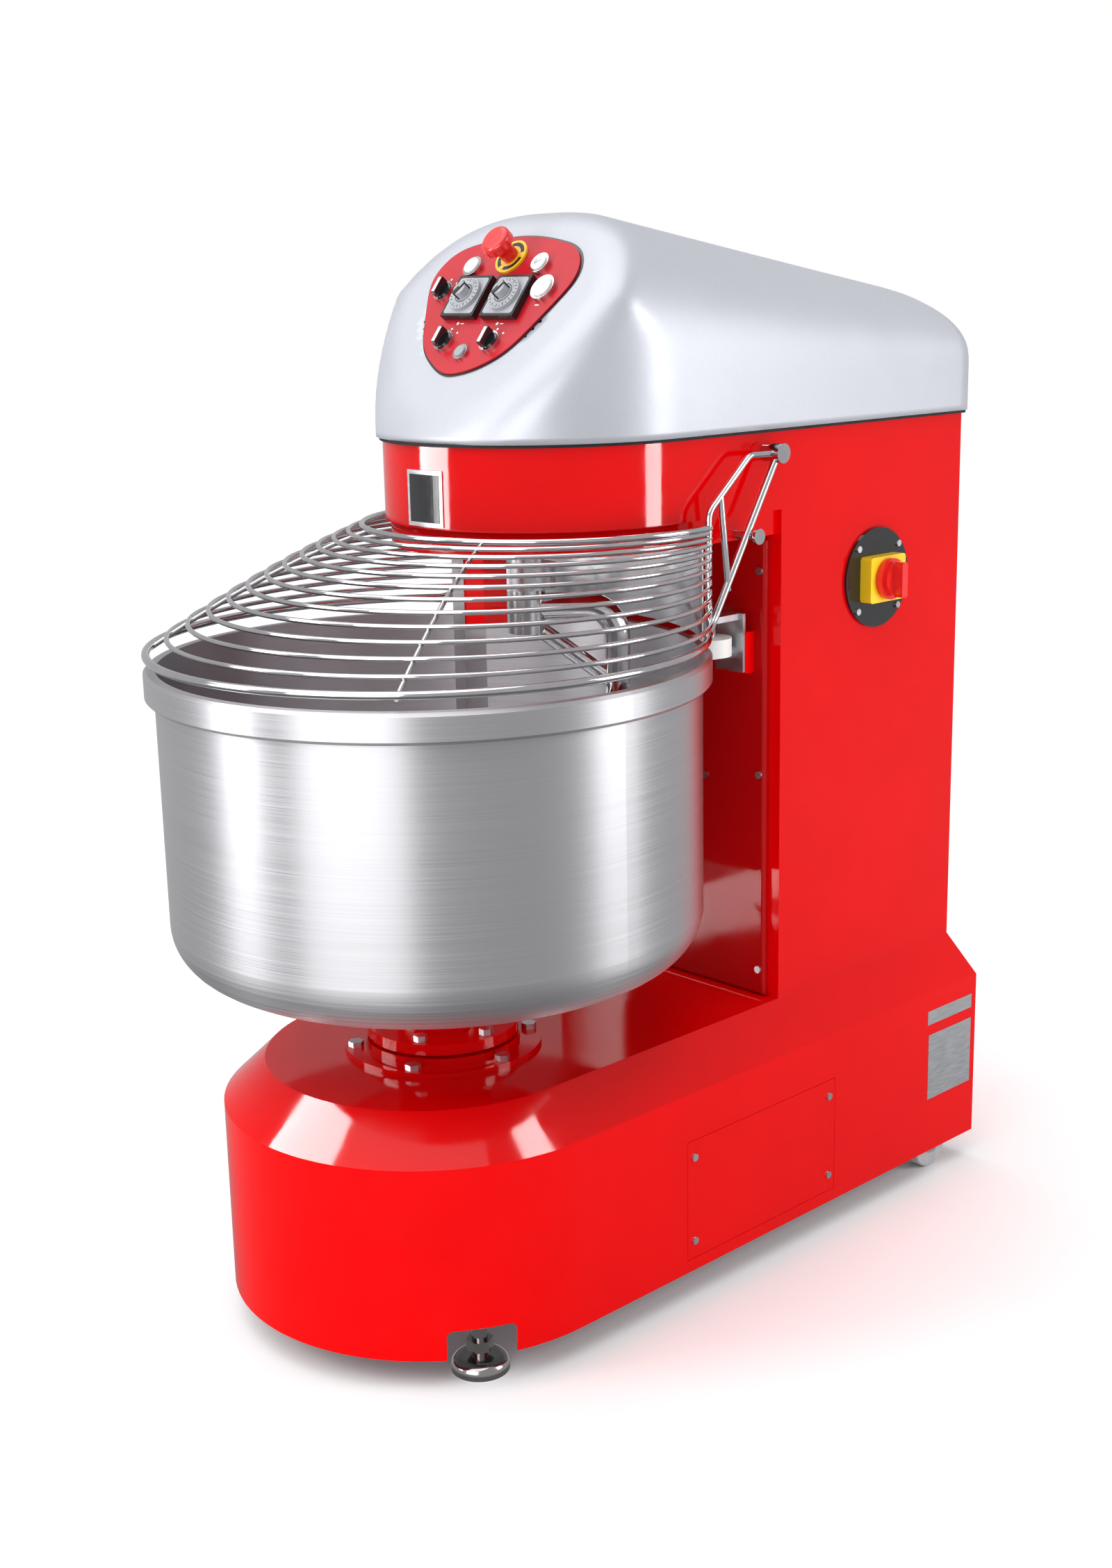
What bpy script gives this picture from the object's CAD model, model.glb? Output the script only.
from math import cos, hypot, pi, radians, sin, sqrt

import bmesh
import bpy
from mathutils import Matrix, Vector


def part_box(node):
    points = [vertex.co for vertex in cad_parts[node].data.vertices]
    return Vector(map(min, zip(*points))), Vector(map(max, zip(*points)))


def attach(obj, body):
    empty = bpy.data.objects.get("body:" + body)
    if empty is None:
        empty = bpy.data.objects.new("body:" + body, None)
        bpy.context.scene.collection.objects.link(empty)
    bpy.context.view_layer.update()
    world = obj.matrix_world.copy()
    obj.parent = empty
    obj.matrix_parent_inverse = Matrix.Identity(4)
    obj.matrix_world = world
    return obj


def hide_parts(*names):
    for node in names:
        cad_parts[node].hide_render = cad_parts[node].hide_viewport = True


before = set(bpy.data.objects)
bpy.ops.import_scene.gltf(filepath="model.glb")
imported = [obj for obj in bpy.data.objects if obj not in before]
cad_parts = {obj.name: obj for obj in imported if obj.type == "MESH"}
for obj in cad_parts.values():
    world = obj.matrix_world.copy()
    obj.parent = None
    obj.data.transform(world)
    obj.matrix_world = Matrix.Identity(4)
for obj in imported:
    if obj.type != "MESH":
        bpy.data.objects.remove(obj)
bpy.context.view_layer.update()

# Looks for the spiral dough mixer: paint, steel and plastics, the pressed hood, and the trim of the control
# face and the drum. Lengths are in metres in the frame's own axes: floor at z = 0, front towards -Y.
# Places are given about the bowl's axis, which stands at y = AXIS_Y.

BOWL_LOW, BOWL_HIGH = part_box("bowl")
AXIS_Y = (BOWL_LOW[1] + BOWL_HIGH[1]) / 2

# The control face: a plane that rises to the rear, with the plate on it.
FACE_TILT = radians(52.0)
FACE_Z = 1.121
FACE_NORMAL = Vector((0, -sin(FACE_TILT), cos(FACE_TILT)))
FACE_UP = Vector((0, cos(FACE_TILT), sin(FACE_TILT)))
PLATE_H = 0.003

# The hood: half width, round nose, springing line of its arch, crown line from apex to tail, round tail.
HOOD_LOW, HOOD_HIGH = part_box("hood")
HOOD_W = HOOD_HIGH[0]
HOOD_REAR = HOOD_HIGH[1] - AXIS_Y
NOSE_Y = 0.215
SPRING_Z = 1.171
APEX_Y, APEX_Z, TAIL_Z = 0.205, 1.384, 1.276
TAIL_Y = 0.690
ARCH_POWER = 2.6
NOSE_BLEND, TAIL_BLEND, FACE_BLEND = 0.004, 0.008, 0.030
HOOD_SHEET = 0.003
OPENING_UP = 0.190
OPENING_HALF_W, OPENING_HALF_H, OPENING_DEPTH = 0.108, 0.088, 0.01

# Controls on the face: centres as (across, up the slope), and heights above the face.
PRINT_H = 0.0002
TIMERS = {"timer_dial_left": (-0.036, 0.194), "timer_dial_right": (0.036, 0.194)}
TIMER_TOP, DIAL_TOP, KNOB_TOP = 0.012, 0.017, 0.027
TIMER_SIDE, TIMER_CORNER = 0.053, 0.004
SCALE_R, SCALE_MARKS, MARK_W = 0.0215, 24, 0.0009
LONG_MARK, SHORT_MARK = 0.0042, 0.0024
RING_INNER, RING_OUTER = 0.0125, 0.0133
GRIP_L, GRIP_W, GRIP_TOP, GRIP_TURN = 0.021, 0.0052, KNOB_TOP + 0.0015, 60
POINTER_L, POINTER_W, POINTER_R, POINTER_H = 0.008, 0.0014, 0.0055, 0.0003
TIMER_MARK_DROP, TIMER_DOT_R = 0.0355, 0.0022
TIMER_DASH_X, TIMER_DASH_L, TIMER_DASH_W = 0.008, 0.006, 0.0014
SELECTORS = {"bowl_selector": (-0.093, 0.206), "speed_selector": (-0.042, 0.131),
             "mode_selector": (0.042, 0.131)}
SELECTOR_TOP = 0.020
SELECTOR_MARK_R, SELECTOR_DOT_R = 0.0195, 0.0016
STRIPE_ACROSS, STRIPE_UP, STRIPE_H = 0.0050, 0.0215, 0.0006
# Buttons also have their radius.
BUTTONS = {"start_button": (-0.060, 0.242, 0.011), "jog_button": (0.061, 0.244, 0.011),
           "stop_button": (0.089, 0.208, 0.014)}
BUTTON_TOP = PLATE_H + 0.008
DASH_DROP, DASH_L, DASH_W = 0.0085, 0.007, 0.0016
STOP = (0.0, 0.257)
STOP_COLLAR_TOP = 0.006
ARC_INNER, ARC_OUTER, ARC_SWEEP = 0.0155, 0.0205, 95
ARC_STARTS = (20, 140, 260)

# The blank plate on the drum.
DRUM_R = 0.215
BADGE_LEFT, BADGE_RIGHT = -0.026, 0.028
BADGE_LOW, BADGE_HIGH = 1.014, 1.072
BADGE_OUT, BADGE_T = 0.0019, 0.0012

# Paint, steel and floor.
RED = (0.93, 0.0, 0.001)
SILVER = (0.53, 0.545, 0.59)
STEEL = (0.66, 0.65, 0.66)
FLOOR_WHITE = (0.93, 0.93, 0.93)

# The studio: world brightness, and its share in directions that point steeply down.
ROOM_LIGHT = 0.55
ROOM_TINT = (0.97, 0.98, 1, 1)
UNDER_SHARE, UNDER_Z, LEVEL_Z = 0.35, -0.50, -0.25
LIGHT_TARGET = (0, 0, 0.8)
SUN_TOWARDS, SUN_ANGLE, SUN_STRENGTH = (0.15, 0.35, -1), 80, 2.2
PAINTED = ["base_shell", "body_shell", "head_tray", "side_panels", "front_panel", "bowl_hub",
           "bearing_housings"]
# Softboxes: name, place, width and height, how bright the face is, whether the gloss paint or the rest
# sees it, and whether it lights them as well as showing in them.
SOFTBOXES = [
    ("left box", (-1.50, -2.84, 1.5), (1.0, 2.0), 6.6, "bare", True),
    ("front panel", (1.05, -3.40, 1.2), (2.7, 2.4), 2.9, "bare", False),
    ("right box", (2.72, 1.72, 1.5), (1.2, 2.0), 5.5, "bare", True),
    ("left gloss box", (-1.59, -2.13, 1.85), (1.35, 2.9), 30.0, "paint", False),
    ("right gloss box", (2.10, 1.02, 1.90), (0.62, 3.1), 26.0, "paint", False),
]
FLOOR_HALF = 30

# The camera: place about the bowl's axis, and angles in degrees.
CAMERA_AT = (1.882, -1.5745, 1.2965)
CAMERA_TURN, CAMERA_PITCH, CAMERA_ROLL = 46.5, 14.1, -1.2
SENSOR_H, LENS = 36, 45.97


def place(x, y, z):
    """Point given about the bowl's axis, in the frame's axes."""
    return Vector((x, y + AXIS_Y, z))


def on_face(x, up, out=0.0):
    """Point on the control face: x across, up the slope, and out of it."""
    return place(x, 0, FACE_Z) + FACE_UP * up + FACE_NORMAL * out


# ---- materials --------------------------------------------------------------------------------
class Shader:
    """A Principled material and short ways to add nodes to it."""

    def __init__(self, name, metallic=0.0, roughness=0.4, coat=0.0, specular=0.5):
        self.mat = bpy.data.materials.new(name)
        self.mat.use_nodes = True
        self.nodes = self.mat.node_tree.nodes
        self.links = self.mat.node_tree.links
        self.bsdf = self.nodes["Principled BSDF"]
        values = {"Metallic": metallic, "Roughness": roughness, "Coat Weight": coat,
                  "Specular IOR Level": specular}
        for socket, value in values.items():
            self.bsdf.inputs[socket].default_value = value
        coordinates = self.nodes.new("ShaderNodeTexCoord")
        self.position = coordinates.outputs["Object"]

    def noise(self, scale, detail, stretch=(1, 1, 1)):
        """Noise in the object's own coordinates, finer along an axis with a larger stretch."""
        mapping = self.nodes.new("ShaderNodeMapping")
        mapping.inputs["Scale"].default_value = stretch
        self.links.new(self.position, mapping.inputs["Vector"])
        node = self.nodes.new("ShaderNodeTexNoise")
        node.inputs["Scale"].default_value = scale
        node.inputs["Detail"].default_value = detail
        self.links.new(mapping.outputs["Vector"], node.inputs["Vector"])
        return node.outputs["Fac"]

    def colour(self, factor, stops):
        """Base colour that runs between two stops, each (place, rgb)."""
        ramp = self.nodes.new("ShaderNodeValToRGB")
        for element, (at, rgb) in zip(ramp.color_ramp.elements, stops):
            element.position = at
            element.color = (*rgb, 1)
        self.links.new(factor, ramp.inputs["Fac"])
        self.links.new(ramp.outputs["Color"], self.bsdf.inputs["Base Color"])

    def rough(self, factor, low, high):
        """Roughness between two values, over the middle of the noise's range."""
        span = self.nodes.new("ShaderNodeMapRange")
        span.inputs["From Min"].default_value = 0.3
        span.inputs["From Max"].default_value = 0.7
        span.inputs["To Min"].default_value = low
        span.inputs["To Max"].default_value = high
        self.links.new(factor, span.inputs["Value"])
        self.links.new(span.outputs["Result"], self.bsdf.inputs["Roughness"])

    def bump(self, factor, strength, distance):
        bump = self.nodes.new("ShaderNodeBump")
        bump.inputs["Strength"].default_value = strength
        bump.inputs["Distance"].default_value = distance
        self.links.new(factor, bump.inputs["Height"])
        self.links.new(bump.outputs["Normal"], self.bsdf.inputs["Normal"])


def shades(rgb, spread):
    """A darker and a lighter neighbour of a colour, as ramp stops."""
    return [(0.35, [c * (1 - spread) for c in rgb]), (0.65, [min(1, c * (1 + spread)) for c in rgb])]


def gloss_paint(name, rgb):
    s = Shader(name, specular=0.25)
    s.colour(s.noise(6, 2), shades(rgb, 0.03))
    s.rough(s.noise(30, 3), 0.05, 0.10)
    s.bump(s.noise(90, 2), 0.05, 0.0004)
    return s.mat


def satin_metallic(name, rgb):
    s = Shader(name, metallic=0.35)
    s.colour(s.noise(900, 2), shades(rgb, 0.04))
    s.rough(s.noise(14, 3), 0.36, 0.44)
    s.bump(s.noise(260, 2), 0.04, 0.0005)
    return s.mat


def brushed_steel(name, rgb, stretch, low=0.22, high=0.36, strength=0.16):
    s = Shader(name, metallic=1.0)
    grain = s.noise(1.0, 5, stretch)
    s.colour(grain, shades(rgb, 0.05))
    s.rough(grain, low, high)
    s.bump(grain, strength, 0.0004)
    return s.mat


def turned_steel(name, rgb):
    """Steel brushed round the upright axis, which draws its reflections out up and down."""
    s = Shader(name, metallic=1.0)
    s.bsdf.inputs["Anisotropic"].default_value = 0.8
    s.bsdf.inputs["Anisotropic Rotation"].default_value = 0.25
    tangent = s.nodes.new("ShaderNodeTangent")
    tangent.direction_type = "RADIAL"
    tangent.axis = "Z"
    s.links.new(tangent.outputs["Tangent"], s.bsdf.inputs["Tangent"])
    grain = s.noise(1.0, 4, (3, 3, 900))
    s.colour(grain, shades(rgb, 0.05))
    s.rough(grain, 0.36, 0.46)
    s.bump(grain, 0.08, 0.0002)
    return s.mat


def polished(name, rgb, low=0.05, high=0.12):
    s = Shader(name, metallic=1.0)
    s.colour(s.noise(25, 3), shades(rgb, 0.04))
    s.rough(s.noise(60, 4), low, high)
    s.bump(s.noise(300, 2), 0.03, 0.0003)
    return s.mat


def cast_surface(name, rgb, roughness, metallic):
    s = Shader(name, metallic=metallic)
    s.colour(s.noise(18, 5), shades(rgb, 0.15))
    s.rough(s.noise(45, 4), roughness - 0.08, roughness + 0.08)
    s.bump(s.noise(220, 4), 0.35, 0.0012)
    return s.mat


def moulded(name, rgb, roughness, grain=0.12, coat=0.0):
    s = Shader(name, coat=coat)
    s.colour(s.noise(12, 3), shades(rgb, 0.05))
    s.rough(s.noise(80, 3), roughness - 0.05, roughness + 0.05)
    s.bump(s.noise(700, 2), grain, 0.0003)
    return s.mat


def rubber(name, rgb):
    s = Shader(name, specular=0.3)
    s.colour(s.noise(30, 4), shades(rgb, 0.12))
    s.rough(s.noise(90, 3), 0.66, 0.82)
    s.bump(s.noise(500, 3), 0.3, 0.0004)
    return s.mat


def make_materials():
    return {
        "red": gloss_paint("red gloss paint", RED),
        "dark red": gloss_paint("red paint in the column's front", (0.52, 0.003, 0.004)),
        "silver": satin_metallic("satin silver paint", SILVER),
        "bowl": turned_steel("bowl steel, brushed round", (0.64, 0.63, 0.65)),
        "steel": brushed_steel("steel, brushed upright", STEEL, (300, 300, 6)),
        "bright": polished("bright stainless", (0.72, 0.72, 0.73), 0.10, 0.18),
        "chrome": polished("chrome wire", (0.60, 0.59, 0.60)),
        "dark chrome": polished("nickel of the feet", (0.40, 0.38, 0.37), 0.10, 0.18),
        "zinc": brushed_steel("zinc plate", (0.62, 0.63, 0.66), (60, 60, 60), 0.26, 0.42, 0.08),
        "black": moulded("black plastic", (0.012, 0.012, 0.014), 0.32),
        "black gloss": moulded("black gloss plastic", (0.010, 0.010, 0.012), 0.16, 0.04, 0.5),
        "white": moulded("white plastic", (0.83, 0.83, 0.81), 0.28, 0.05, 0.4),
        "grey": moulded("grey plastic", (0.34, 0.35, 0.37), 0.35),
        "yellow": moulded("yellow plastic", (0.93, 0.62, 0.01), 0.30, 0.06, 0.3),
        "signal red": moulded("red plastic", (0.80, 0.012, 0.010), 0.24, 0.05, 0.5),
        "silver plastic": moulded("silver dial plastic", (0.40, 0.41, 0.44), 0.30, 0.05),
        "plate red": moulded("printed control plate", (0.50, 0.003, 0.014), 0.35, 0.04),
        "rubber": rubber("black rubber", (0.02, 0.02, 0.021)),
        "wheel": rubber("grey wheel tread", (0.45, 0.46, 0.48)),
        "nylon": moulded("white nylon", (0.78, 0.78, 0.75), 0.5, 0.2),
        "iron": cast_surface("machined cast iron", (0.13, 0.13, 0.14), 0.5, 0.6),
        "motor": cast_surface("motor paint", (0.16, 0.20, 0.26), 0.5, 0.1),
        "black steel": cast_surface("black painted steel", (0.02, 0.02, 0.024), 0.45, 0.2),
        "label": brushed_steel("aluminium label", (0.74, 0.74, 0.76), (40, 40, 400), 0.3, 0.45, 0.05),
    }


MATERIALS = make_materials()


# ---- finish of the CAD nodes ------------------------------------------------------------------------
NODE_FINISH = {
    "base_shell": "red", "body_shell": "red", "head_tray": "red", "side_panels": "red", "rear_panel": "red",
    "breaker_post": "red", "guide_blocks": "red", "bearing_housings": "red", "bowl_hub": "red",
    "front_panel": "dark red", "chassis": "zinc", "motor_plates": "black steel",
    "hood": "silver", "hood_seal": "rubber", "control_gasket": "black gloss", "control_plate": "plate red",
    "bowl": "bowl", "rear_apron": "bright", "breaker_bar": "bright",
    "spiral_bar": "bright", "spiral_shaft": "steel",
    "guard_cage": "chrome", "guard_pins": "chrome", "guide_brackets": "zinc",
    "guide_roller_left": "nylon", "guide_roller_right": "nylon",
    "foot_left": "dark chrome", "foot_right": "dark chrome", "wheel_left": "wheel", "wheel_right": "wheel",
    "wheel_axles": "zinc", "panel_screws": "zinc", "fixed_bolts": "zinc", "bowl_hub_bolts": "zinc",
    "cable_gland": "black", "nameplates": "label", "isolator_plate": "black gloss",
    "isolator_block": "yellow", "isolator_knob": "signal red", "control_bezels": "chrome",
    "stop_collar": "yellow",
    "stop_mushroom": "signal red", "start_button": "white", "jog_button": "white", "stop_button": "white",
    "reset_button": "grey", "bowl_selector": "black gloss", "speed_selector": "black gloss",
    "mode_selector": "black gloss", "timer_cases": "black", "timer_dial_left": "silver plastic",
    "timer_dial_right": "silver plastic", "contact_blocks": "grey", "bowl_pulley": "iron",
    "bowl_driver": "iron", "spiral_pulley": "iron", "spiral_driver": "iron", "drive_belts": "rubber",
    "motors": "motor", "bearings": "zinc",
}

# How wide a node's sharp edges are rounded.
EDGES = {
    "base_shell": 0.006, "body_shell": 0.0025, "head_tray": 0.002, "front_panel": 0.0015,
    "rear_panel": 0.0006, "side_panels": 0.0006, "guide_blocks": 0.002, "guide_brackets": 0.0008,
    "breaker_bar": 0.002,
    "breaker_post": 0.004, "isolator_plate": 0.0015, "isolator_block": 0.0012, "isolator_knob": 0.0012,
    "stop_collar": 0.0008, "timer_cases": 0.0012, "timer_dial_left": 0.0008, "timer_dial_right": 0.0008,
    "control_plate": 0.0006, "start_button": 0.0008, "jog_button": 0.0008, "stop_button": 0.0008,
    "control_bezels": 0.0006, "bowl_selector": 0.0008, "speed_selector": 0.0008, "mode_selector": 0.0008,
    "bowl_hub": 0.002, "bearing_housings": 0.002, "spiral_shaft": 0.002, "bowl": 0.0008, "nameplates": 0.0002,
    "panel_screws": 0.0008, "bowl_hub_bolts": 0.0008, "fixed_bolts": 0.0008, "guard_pins": 0.001,
}


def finish_node(node):
    """Gives a CAD node its material and, where a width is listed, softly rounded edges."""
    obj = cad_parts[node]
    obj.data.materials.clear()
    obj.data.materials.append(MATERIALS[NODE_FINISH[node]])
    if node in EDGES:
        bevel = obj.modifiers.new("edge", "BEVEL")
        bevel.width = EDGES[node]
        bevel.segments = 3
        bevel.limit_method = "ANGLE"
        bevel.angle_limit = radians(32)


def finish_nodes():
    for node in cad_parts:
        finish_node(node)


# ---- mesh helpers -------------------------------------------------------------------------------
def mesh_object(name, vertices, faces, smooth):
    mesh = bpy.data.meshes.new(name)
    mesh.from_pydata([tuple(v) for v in vertices], [], faces)
    bm = bmesh.new()
    bm.from_mesh(mesh)
    bmesh.ops.remove_doubles(bm, verts=bm.verts, dist=1e-6)
    bmesh.ops.recalc_face_normals(bm, faces=bm.faces)
    bm.to_mesh(mesh)
    bm.free()
    for polygon in mesh.polygons:
        polygon.use_smooth = smooth
    obj = bpy.data.objects.new(name, mesh)
    bpy.context.collection.objects.link(obj)
    return obj


def paint(obj, name):
    obj.data.materials.append(MATERIALS[name])


# ---- hood ---------------------------------------------------------------------------------------
def soft_max(a, b, blend):
    """The larger of two, rounded where they are nearly equal."""
    h = max(blend - abs(a - b), 0) / blend
    return max(a, b) + h * h * blend / 4


def hood_distance(x, y, z):
    """Roughly how far a point is outside the hood's skin; negative inside it."""
    crown = APEX_Z + (TAIL_Z - APEX_Z) * (y - APEX_Y) / (HOOD_REAR - APEX_Y)
    lift = max(z - SPRING_Z, 0) / (crown - SPRING_Z)
    size = ((abs(x) / HOOD_W) ** ARCH_POWER + lift ** ARCH_POWER) ** (1 / ARCH_POWER)
    arch = (size - 1) * HOOD_W
    nose = hypot(x, y - NOSE_Y) - HOOD_W if y < NOSE_Y else abs(x) - HOOD_W
    tail_r = HOOD_REAR - TAIL_Y
    tail = hypot(y - TAIL_Y, z - SPRING_Z) - tail_r if y > TAIL_Y and z > SPRING_Z else y - HOOD_REAR
    face = (place(x, y, z) - on_face(0, 0)).dot(FACE_NORMAL)
    body = soft_max(soft_max(arch, nose, NOSE_BLEND), tail, TAIL_BLEND)
    return soft_max(body, face, FACE_BLEND)


def hood_point(origin, direction):
    """Where a ray from inside meets the skin, found by halving."""
    near, far, halvings = 0.0, 0.5, 26
    for _ in range(halvings):
        middle = (near + far) / 2
        p = origin + direction * middle
        if hood_distance(p.x, p.y, p.z) < 0:
            near = middle
        else:
            far = middle
    return origin + direction * near


def hood_stations():
    """Origins on the hood's spine with the plan direction looked at from each, going all round."""
    side_steps, nose_steps, tail_steps = 34, 60, 44
    front, rear = NOSE_Y + 0.02, TAIL_Y
    sides = [front + (rear - front) * i / side_steps for i in range(side_steps + 1)]
    stations = [(front, radians(-180 + 180 * i / nose_steps)) for i in range(nose_steps + 1)]
    stations += [(y, 0.0) for y in sides[1:]]
    stations += [(rear, radians(180 * i / tail_steps)) for i in range(1, tail_steps + 1)]
    stations += [(y, pi) for y in reversed(sides[1:-1])]
    return stations


def hood_column(y, turn, levels):
    """Points on the skin from the hood's lower edge up to its spine, in one plan direction."""
    origin = Vector((0, y, HOOD_LOW[2]))
    column = []
    for j in range(levels + 1):
        tilt = pi / 2 * j / levels
        direction = Vector((cos(turn) * cos(tilt), sin(turn) * cos(tilt), sin(tilt)))
        column.append(hood_point(origin, direction))
    return column


def make_hood():
    levels = 44
    columns = [hood_column(y, turn, levels) for y, turn in hood_stations()]
    vertices = [place(*p) for column in columns for p in column]
    step = levels + 1
    faces = []
    for i in range(len(columns)):
        k = (i + 1) % len(columns)
        for j in range(levels):
            faces.append((i * step + j, k * step + j, k * step + j + 1, i * step + j + 1))
    hood = mesh_object("hood_skin", vertices, faces, smooth=True)
    cut_control_opening(hood)
    paint(hood, "silver")
    shell = hood.modifiers.new("sheet", "SOLIDIFY")
    shell.thickness = HOOD_SHEET
    shell.offset = -1
    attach(hood, "frame")
    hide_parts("hood")


def cut_control_opening(hood):
    """Opens the hood behind the control plate, where the controls reach through."""
    bm = bmesh.new()
    bm.from_mesh(hood.data)
    doomed = []
    for face in bm.faces:
        at = face.calc_center_median() - on_face(0, OPENING_UP)
        across, up, out = at.x, at.dot(FACE_UP), at.dot(FACE_NORMAL)
        if hypot(across / OPENING_HALF_W, up / OPENING_HALF_H) < 1 and abs(out) < OPENING_DEPTH:
            doomed.append(face)
    bmesh.ops.delete(bm, geom=doomed, context="FACES")
    bm.to_mesh(hood.data)
    bm.free()


# ---- outlines on the control face ---------------------------------------------------------------------
def polar(x, up, r, turn):
    """Point at a radius and an angle in degrees from a centre on the face."""
    return x + r * cos(radians(turn)), up + r * sin(radians(turn))


def bar(x, up, length, width, turn=0.0):
    """Outline of a small rectangle, turned by an angle in degrees."""
    c, s = cos(radians(turn)), sin(radians(turn))
    corners = [(-1, -1), (1, -1), (1, 1), (-1, 1)]
    return [(x + (a * length * c - b * width * s) / 2, up + (a * length * s + b * width * c) / 2)
            for a, b in corners]


def dot(x, up, r, count):
    return [(x + r * cos(2 * pi * k / count), up + r * sin(2 * pi * k / count)) for k in range(count)]


def arc_band(x, up, inner, outer, start, end, count=18):
    """Outline of a part ring between two angles in degrees."""
    angles = [radians(start + (end - start) * k / count) for k in range(count + 1)]
    out = [(x + outer * cos(a), up + outer * sin(a)) for a in angles]
    return out + [(x + inner * cos(a), up + inner * sin(a)) for a in reversed(angles)]


def rounded(x, up, side, radius):
    """Outline of a square with round corners."""
    half = side / 2 - radius
    points = []
    for k, (a, b) in enumerate([(1, 1), (-1, 1), (-1, -1), (1, -1)]):
        for i in range(6):
            turn = radians(90 * k + 90 * i / 5)
            points.append((x + a * half + radius * cos(turn), up + b * half + radius * sin(turn)))
    return points


def slab(outline, low, high):
    """Vertices and faces of a flat prism on the control face; the outline is (across, up) pairs."""
    count = len(outline)
    vertices = [on_face(x, up, low) for x, up in outline] + [on_face(x, up, high) for x, up in outline]
    faces = [tuple(reversed(range(count))), tuple(range(count, 2 * count))]
    faces += [(k, (k + 1) % count, count + (k + 1) % count, count + k) for k in range(count)]
    return vertices, faces


def slabs(name, parts, finish, body):
    """One piece from several prisms, each (outline, low, high)."""
    vertices, faces = [], []
    for outline, low, high in parts:
        more, more_faces = slab(outline, low, high)
        faces += [tuple(i + len(vertices) for i in face) for face in more_faces]
        vertices += more
    obj = mesh_object(name, vertices, faces, smooth=False)
    paint(obj, finish)
    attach(obj, body)


def printed(outline, height):
    """Thin mark on a surface at a height above the face."""
    return outline, height, height + PRINT_H


# ---- small pieces on the control face -----------------------------------------------------------------
def make_timer_dial(node, x, up):
    """Scale and ring on a timer's dial, with its grip and the grip's pointer."""
    marks = []
    for k in range(SCALE_MARKS):
        turn = 360 / SCALE_MARKS * k
        length = LONG_MARK if k % 2 == 0 else SHORT_MARK
        at = polar(x, up, SCALE_R - length / 2, turn)
        marks.append(printed(bar(*at, length, MARK_W, turn), DIAL_TOP))
    marks.append(printed(arc_band(x, up, RING_INNER, RING_OUTER, 0, 359.9, 40), DIAL_TOP))
    slabs(f"{node}_marks", marks, "black", node)
    grip = [(bar(x, up, GRIP_L, GRIP_W, GRIP_TURN), DIAL_TOP, GRIP_TOP)]
    slabs(f"{node}_grip", grip, "black gloss", node)
    at = polar(x, up, POINTER_R, GRIP_TURN)
    pointer = [(bar(*at, POINTER_L, POINTER_W, GRIP_TURN), GRIP_TOP, GRIP_TOP + POINTER_H)]
    slabs(f"{node}_pointer", pointer, "white", node)


def make_timers():
    plates = [printed(rounded(x, up, TIMER_SIDE, TIMER_CORNER), TIMER_TOP) for x, up in TIMERS.values()]
    slabs("timer_faces", plates, "silver plastic", "frame")
    for node, (x, up) in TIMERS.items():
        make_timer_dial(node, x, up)


def make_plate_marks():
    """White dots over the selectors, dashes under the buttons, and a dot and a dash under each timer."""
    marks = []
    for x, up in SELECTORS.values():
        for turn in (45, 90, 135):
            at = polar(x, up, SELECTOR_MARK_R, turn)
            marks.append(printed(dot(*at, SELECTOR_DOT_R, 12), PLATE_H))
    for x, up, r in BUTTONS.values():
        marks.append(printed(bar(x, up - r - DASH_DROP, DASH_L, DASH_W), PLATE_H))
    for x, up in TIMERS.values():
        low = up - TIMER_MARK_DROP
        marks.append(printed(dot(x, low, TIMER_DOT_R, 16), PLATE_H))
        marks.append(printed(bar(x + TIMER_DASH_X, low, TIMER_DASH_L, TIMER_DASH_W), PLATE_H))
    slabs("plate_marks", marks, "white", "frame")


def make_stop_marks():
    """Three arcs on the emergency stop's collar."""
    arcs = [arc_band(*STOP, ARC_INNER, ARC_OUTER, start, start + ARC_SWEEP) for start in ARC_STARTS]
    slabs("stop_marks", [printed(arc, STOP_COLLAR_TOP) for arc in arcs], "black", "frame")


def make_selector_stripes():
    for node, (x, up) in SELECTORS.items():
        stripe = [(bar(x, up, STRIPE_ACROSS, STRIPE_UP), SELECTOR_TOP, SELECTOR_TOP + STRIPE_H)]
        slabs(f"{node}_stripe", stripe, "white", node)


def make_jog_symbol():
    """Slanted stroke beside an upright one."""
    x, up, _ = BUTTONS["jog_button"]
    stroke = 0.0018
    slanted_l, slant = 0.0095, 35
    upright_x, upright_l = 0.0042, 0.0085
    symbol = [printed(bar(x, up, slanted_l, stroke, slant), BUTTON_TOP),
              printed(bar(x - upright_x, up, stroke, upright_l), BUTTON_TOP)]
    slabs("jog_button_symbol", symbol, "grey", "jog_button")


# ---- drum -----------------------------------------------------------------------------------------
def make_badge():
    """Plain black face of the plate on the drum, bent to the drum's round front."""
    radius = DRUM_R + BADGE_OUT
    columns = 12
    vertices, faces = [], []
    for i in range(columns + 1):
        x = BADGE_LEFT + (BADGE_RIGHT - BADGE_LEFT) * i / columns
        y = NOSE_Y - sqrt(radius * radius - x * x)
        vertices += [place(x, y, BADGE_LOW), place(x, y, BADGE_HIGH)]
        vertices += [place(x, y + BADGE_T, BADGE_HIGH), place(x, y + BADGE_T, BADGE_LOW)]
    for i in range(columns):
        a, b = 4 * i, 4 * i + 4
        faces += [(a + k, b + k, b + (k + 1) % 4, a + (k + 1) % 4) for k in range(4)]
    faces += [(0, 1, 2, 3), tuple(4 * columns + k for k in (3, 2, 1, 0))]
    badge = mesh_object("badge_face", vertices, faces, smooth=False)
    paint(badge, "black gloss")
    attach(badge, "frame")


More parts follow.
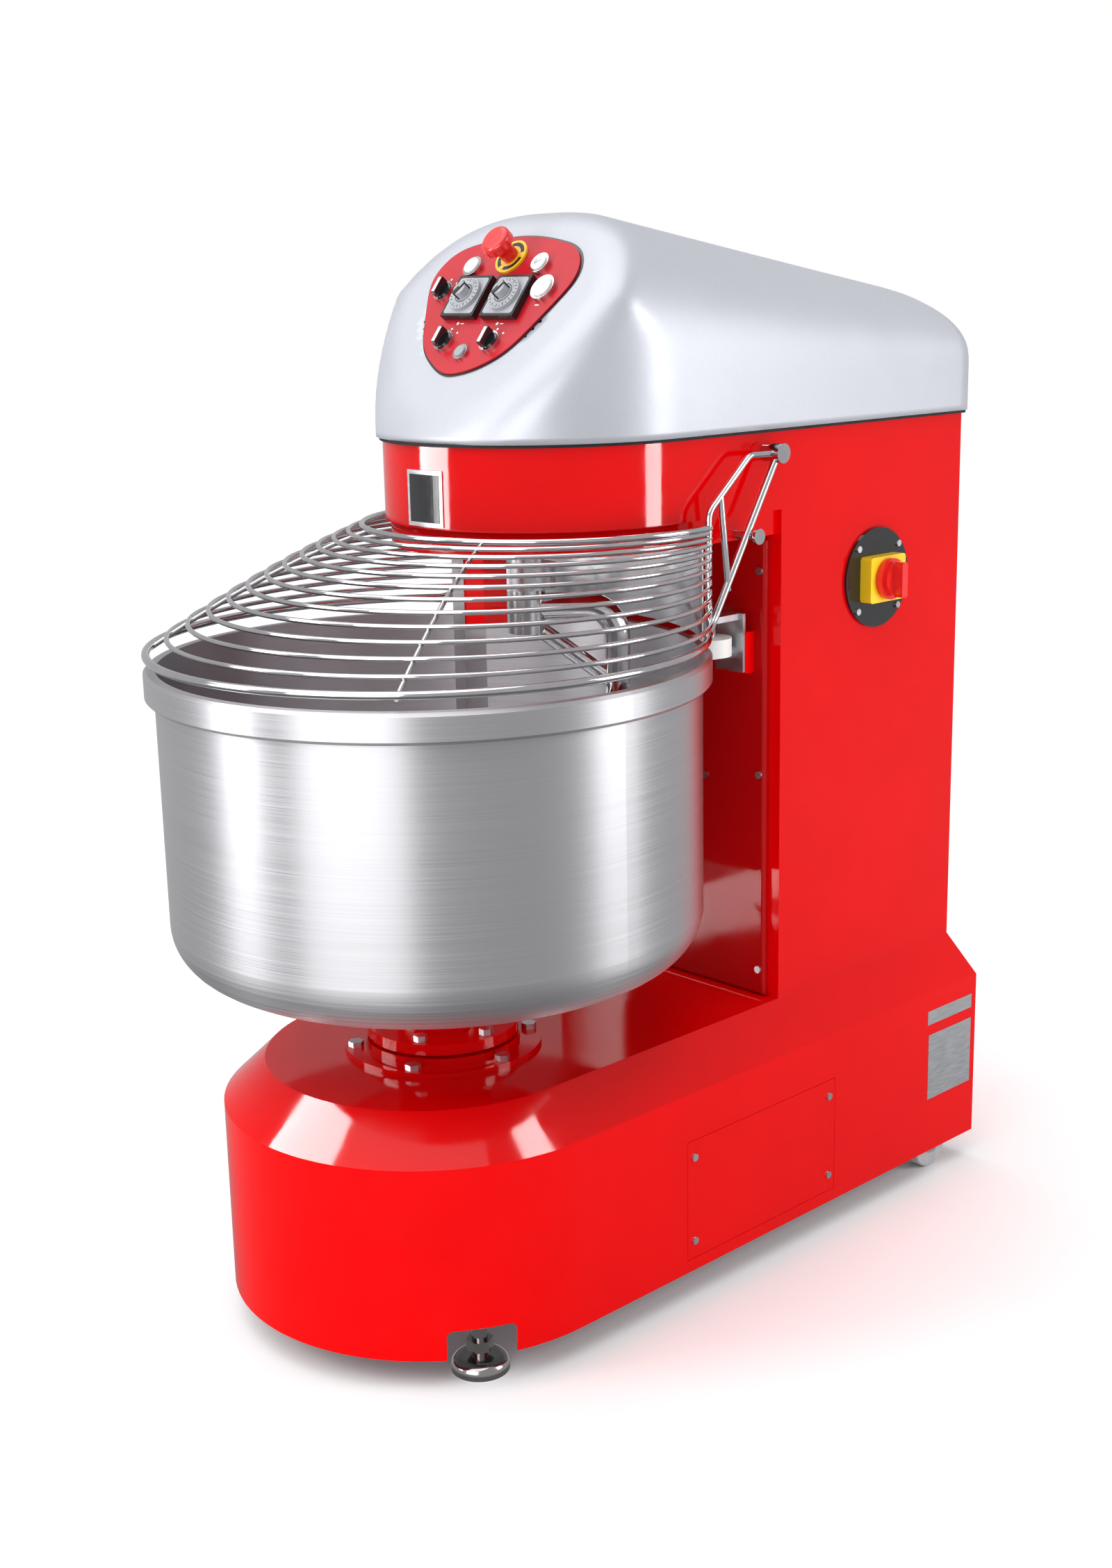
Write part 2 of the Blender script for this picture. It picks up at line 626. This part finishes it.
# ---- stage ----------------------------------------------------------------------------------------
def make_floor():
    """Pale floor, which is left out of reflections so that the gloss paint stays a deep red."""
    corners = [(-1, -1), (1, -1), (1, 1), (-1, 1)]
    vertices = [(FLOOR_HALF * x, FLOOR_HALF * y, 0) for x, y in corners]
    floor = mesh_object("floor", vertices, [(0, 1, 2, 3)], smooth=False)
    s = Shader("pale floor", roughness=0.55)
    s.colour(s.noise(3, 2), shades(FLOOR_WHITE, 0.01))
    floor.data.materials.append(s.mat)
    floor.visible_glossy = False


def make_light(name, at, size, radiance):
    data = bpy.data.lights.new(name, "AREA")
    data.shape = "RECTANGLE"
    data.size, data.size_y = size
    data.energy = radiance * pi * size[0] * size[1]
    light = bpy.data.objects.new(name, data)
    light.location = at
    light.rotation_euler = (Vector(LIGHT_TARGET) - Vector(at)).to_track_quat("-Z", "Y").to_euler()
    bpy.context.collection.objects.link(light)
    return light


def light_group(name, state):
    """Collection of the gloss painted nodes that a light is limited to, or kept off."""
    group = bpy.data.collections.new(name)
    for node in PAINTED:
        group.objects.link(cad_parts[node])
    for member in group.collection_objects:
        member.light_linking.link_state = state
    return group


def make_softboxes():
    groups = {"paint": light_group("gloss paint", "INCLUDE"),
              "bare": light_group("all but gloss paint", "EXCLUDE")}
    for name, at, size, radiance, seen_by, lights in SOFTBOXES:
        light = make_light(name, at, size, radiance)
        light.light_linking.receiver_collection = groups[seen_by]
        light.visible_diffuse = lights


def make_sun():
    """Very soft light from overhead, which keeps the floor white."""
    data = bpy.data.lights.new("sky panel", "SUN")
    data.energy = SUN_STRENGTH
    data.angle = radians(SUN_ANGLE)
    sun = bpy.data.objects.new("sky panel", data)
    sun.rotation_euler = Vector(SUN_TOWARDS).to_track_quat("-Z", "Y").to_euler()
    bpy.context.collection.objects.link(sun)


def make_world():
    """White studio surround: pure white behind the object, dimmer where it lights and reflects."""
    world = bpy.data.worlds.new("studio")
    world.use_nodes = True
    nodes, links = world.node_tree.nodes, world.node_tree.links
    dim = nodes["Background"]
    dim.inputs["Color"].default_value = ROOM_TINT
    way = nodes.new("ShaderNodeTexCoord")
    parts = nodes.new("ShaderNodeSeparateXYZ")
    fade = nodes.new("ShaderNodeMapRange")
    fade.inputs["From Min"].default_value = UNDER_Z
    fade.inputs["From Max"].default_value = LEVEL_Z
    fade.inputs["To Min"].default_value = ROOM_LIGHT * UNDER_SHARE
    fade.inputs["To Max"].default_value = ROOM_LIGHT
    links.new(way.outputs["Generated"], parts.inputs["Vector"])
    links.new(parts.outputs["Z"], fade.inputs["Value"])
    links.new(fade.outputs["Result"], dim.inputs["Strength"])
    white = nodes.new("ShaderNodeBackground")
    white.inputs["Color"].default_value = (1, 1, 1, 1)
    seen = nodes.new("ShaderNodeLightPath")
    choice = nodes.new("ShaderNodeMixShader")
    links.new(seen.outputs["Is Camera Ray"], choice.inputs["Fac"])
    links.new(dim.outputs["Background"], choice.inputs[1])
    links.new(white.outputs["Background"], choice.inputs[2])
    links.new(choice.outputs["Shader"], nodes["World Output"].inputs["Surface"])
    bpy.context.scene.world = world


def make_camera():
    data = bpy.data.cameras.new("camera")
    data.sensor_fit = "VERTICAL"
    data.sensor_height = SENSOR_H
    data.lens = LENS
    camera = bpy.data.objects.new("camera", data)
    turn, pitch, roll = radians(CAMERA_TURN), radians(CAMERA_PITCH), radians(CAMERA_ROLL)
    ahead = Vector((-sin(turn) * cos(pitch), cos(turn) * cos(pitch), -sin(pitch)))
    right = Vector((cos(turn), sin(turn), 0))
    up = right.cross(ahead)
    right, up = right * cos(roll) + up * sin(roll), up * cos(roll) - right * sin(roll)
    facing = Matrix((right, up, -ahead)).transposed().to_4x4()
    camera.matrix_world = Matrix.Translation(place(*CAMERA_AT)) @ facing
    bpy.context.collection.objects.link(camera)
    bpy.context.scene.camera = camera


finish_nodes()
make_hood()
make_timers()
make_plate_marks()
make_stop_marks()
make_selector_stripes()
make_jog_symbol()
make_badge()
make_floor()
make_softboxes()
make_sun()
make_world()
make_camera()
bpy.context.scene.view_settings.view_transform = "Standard"
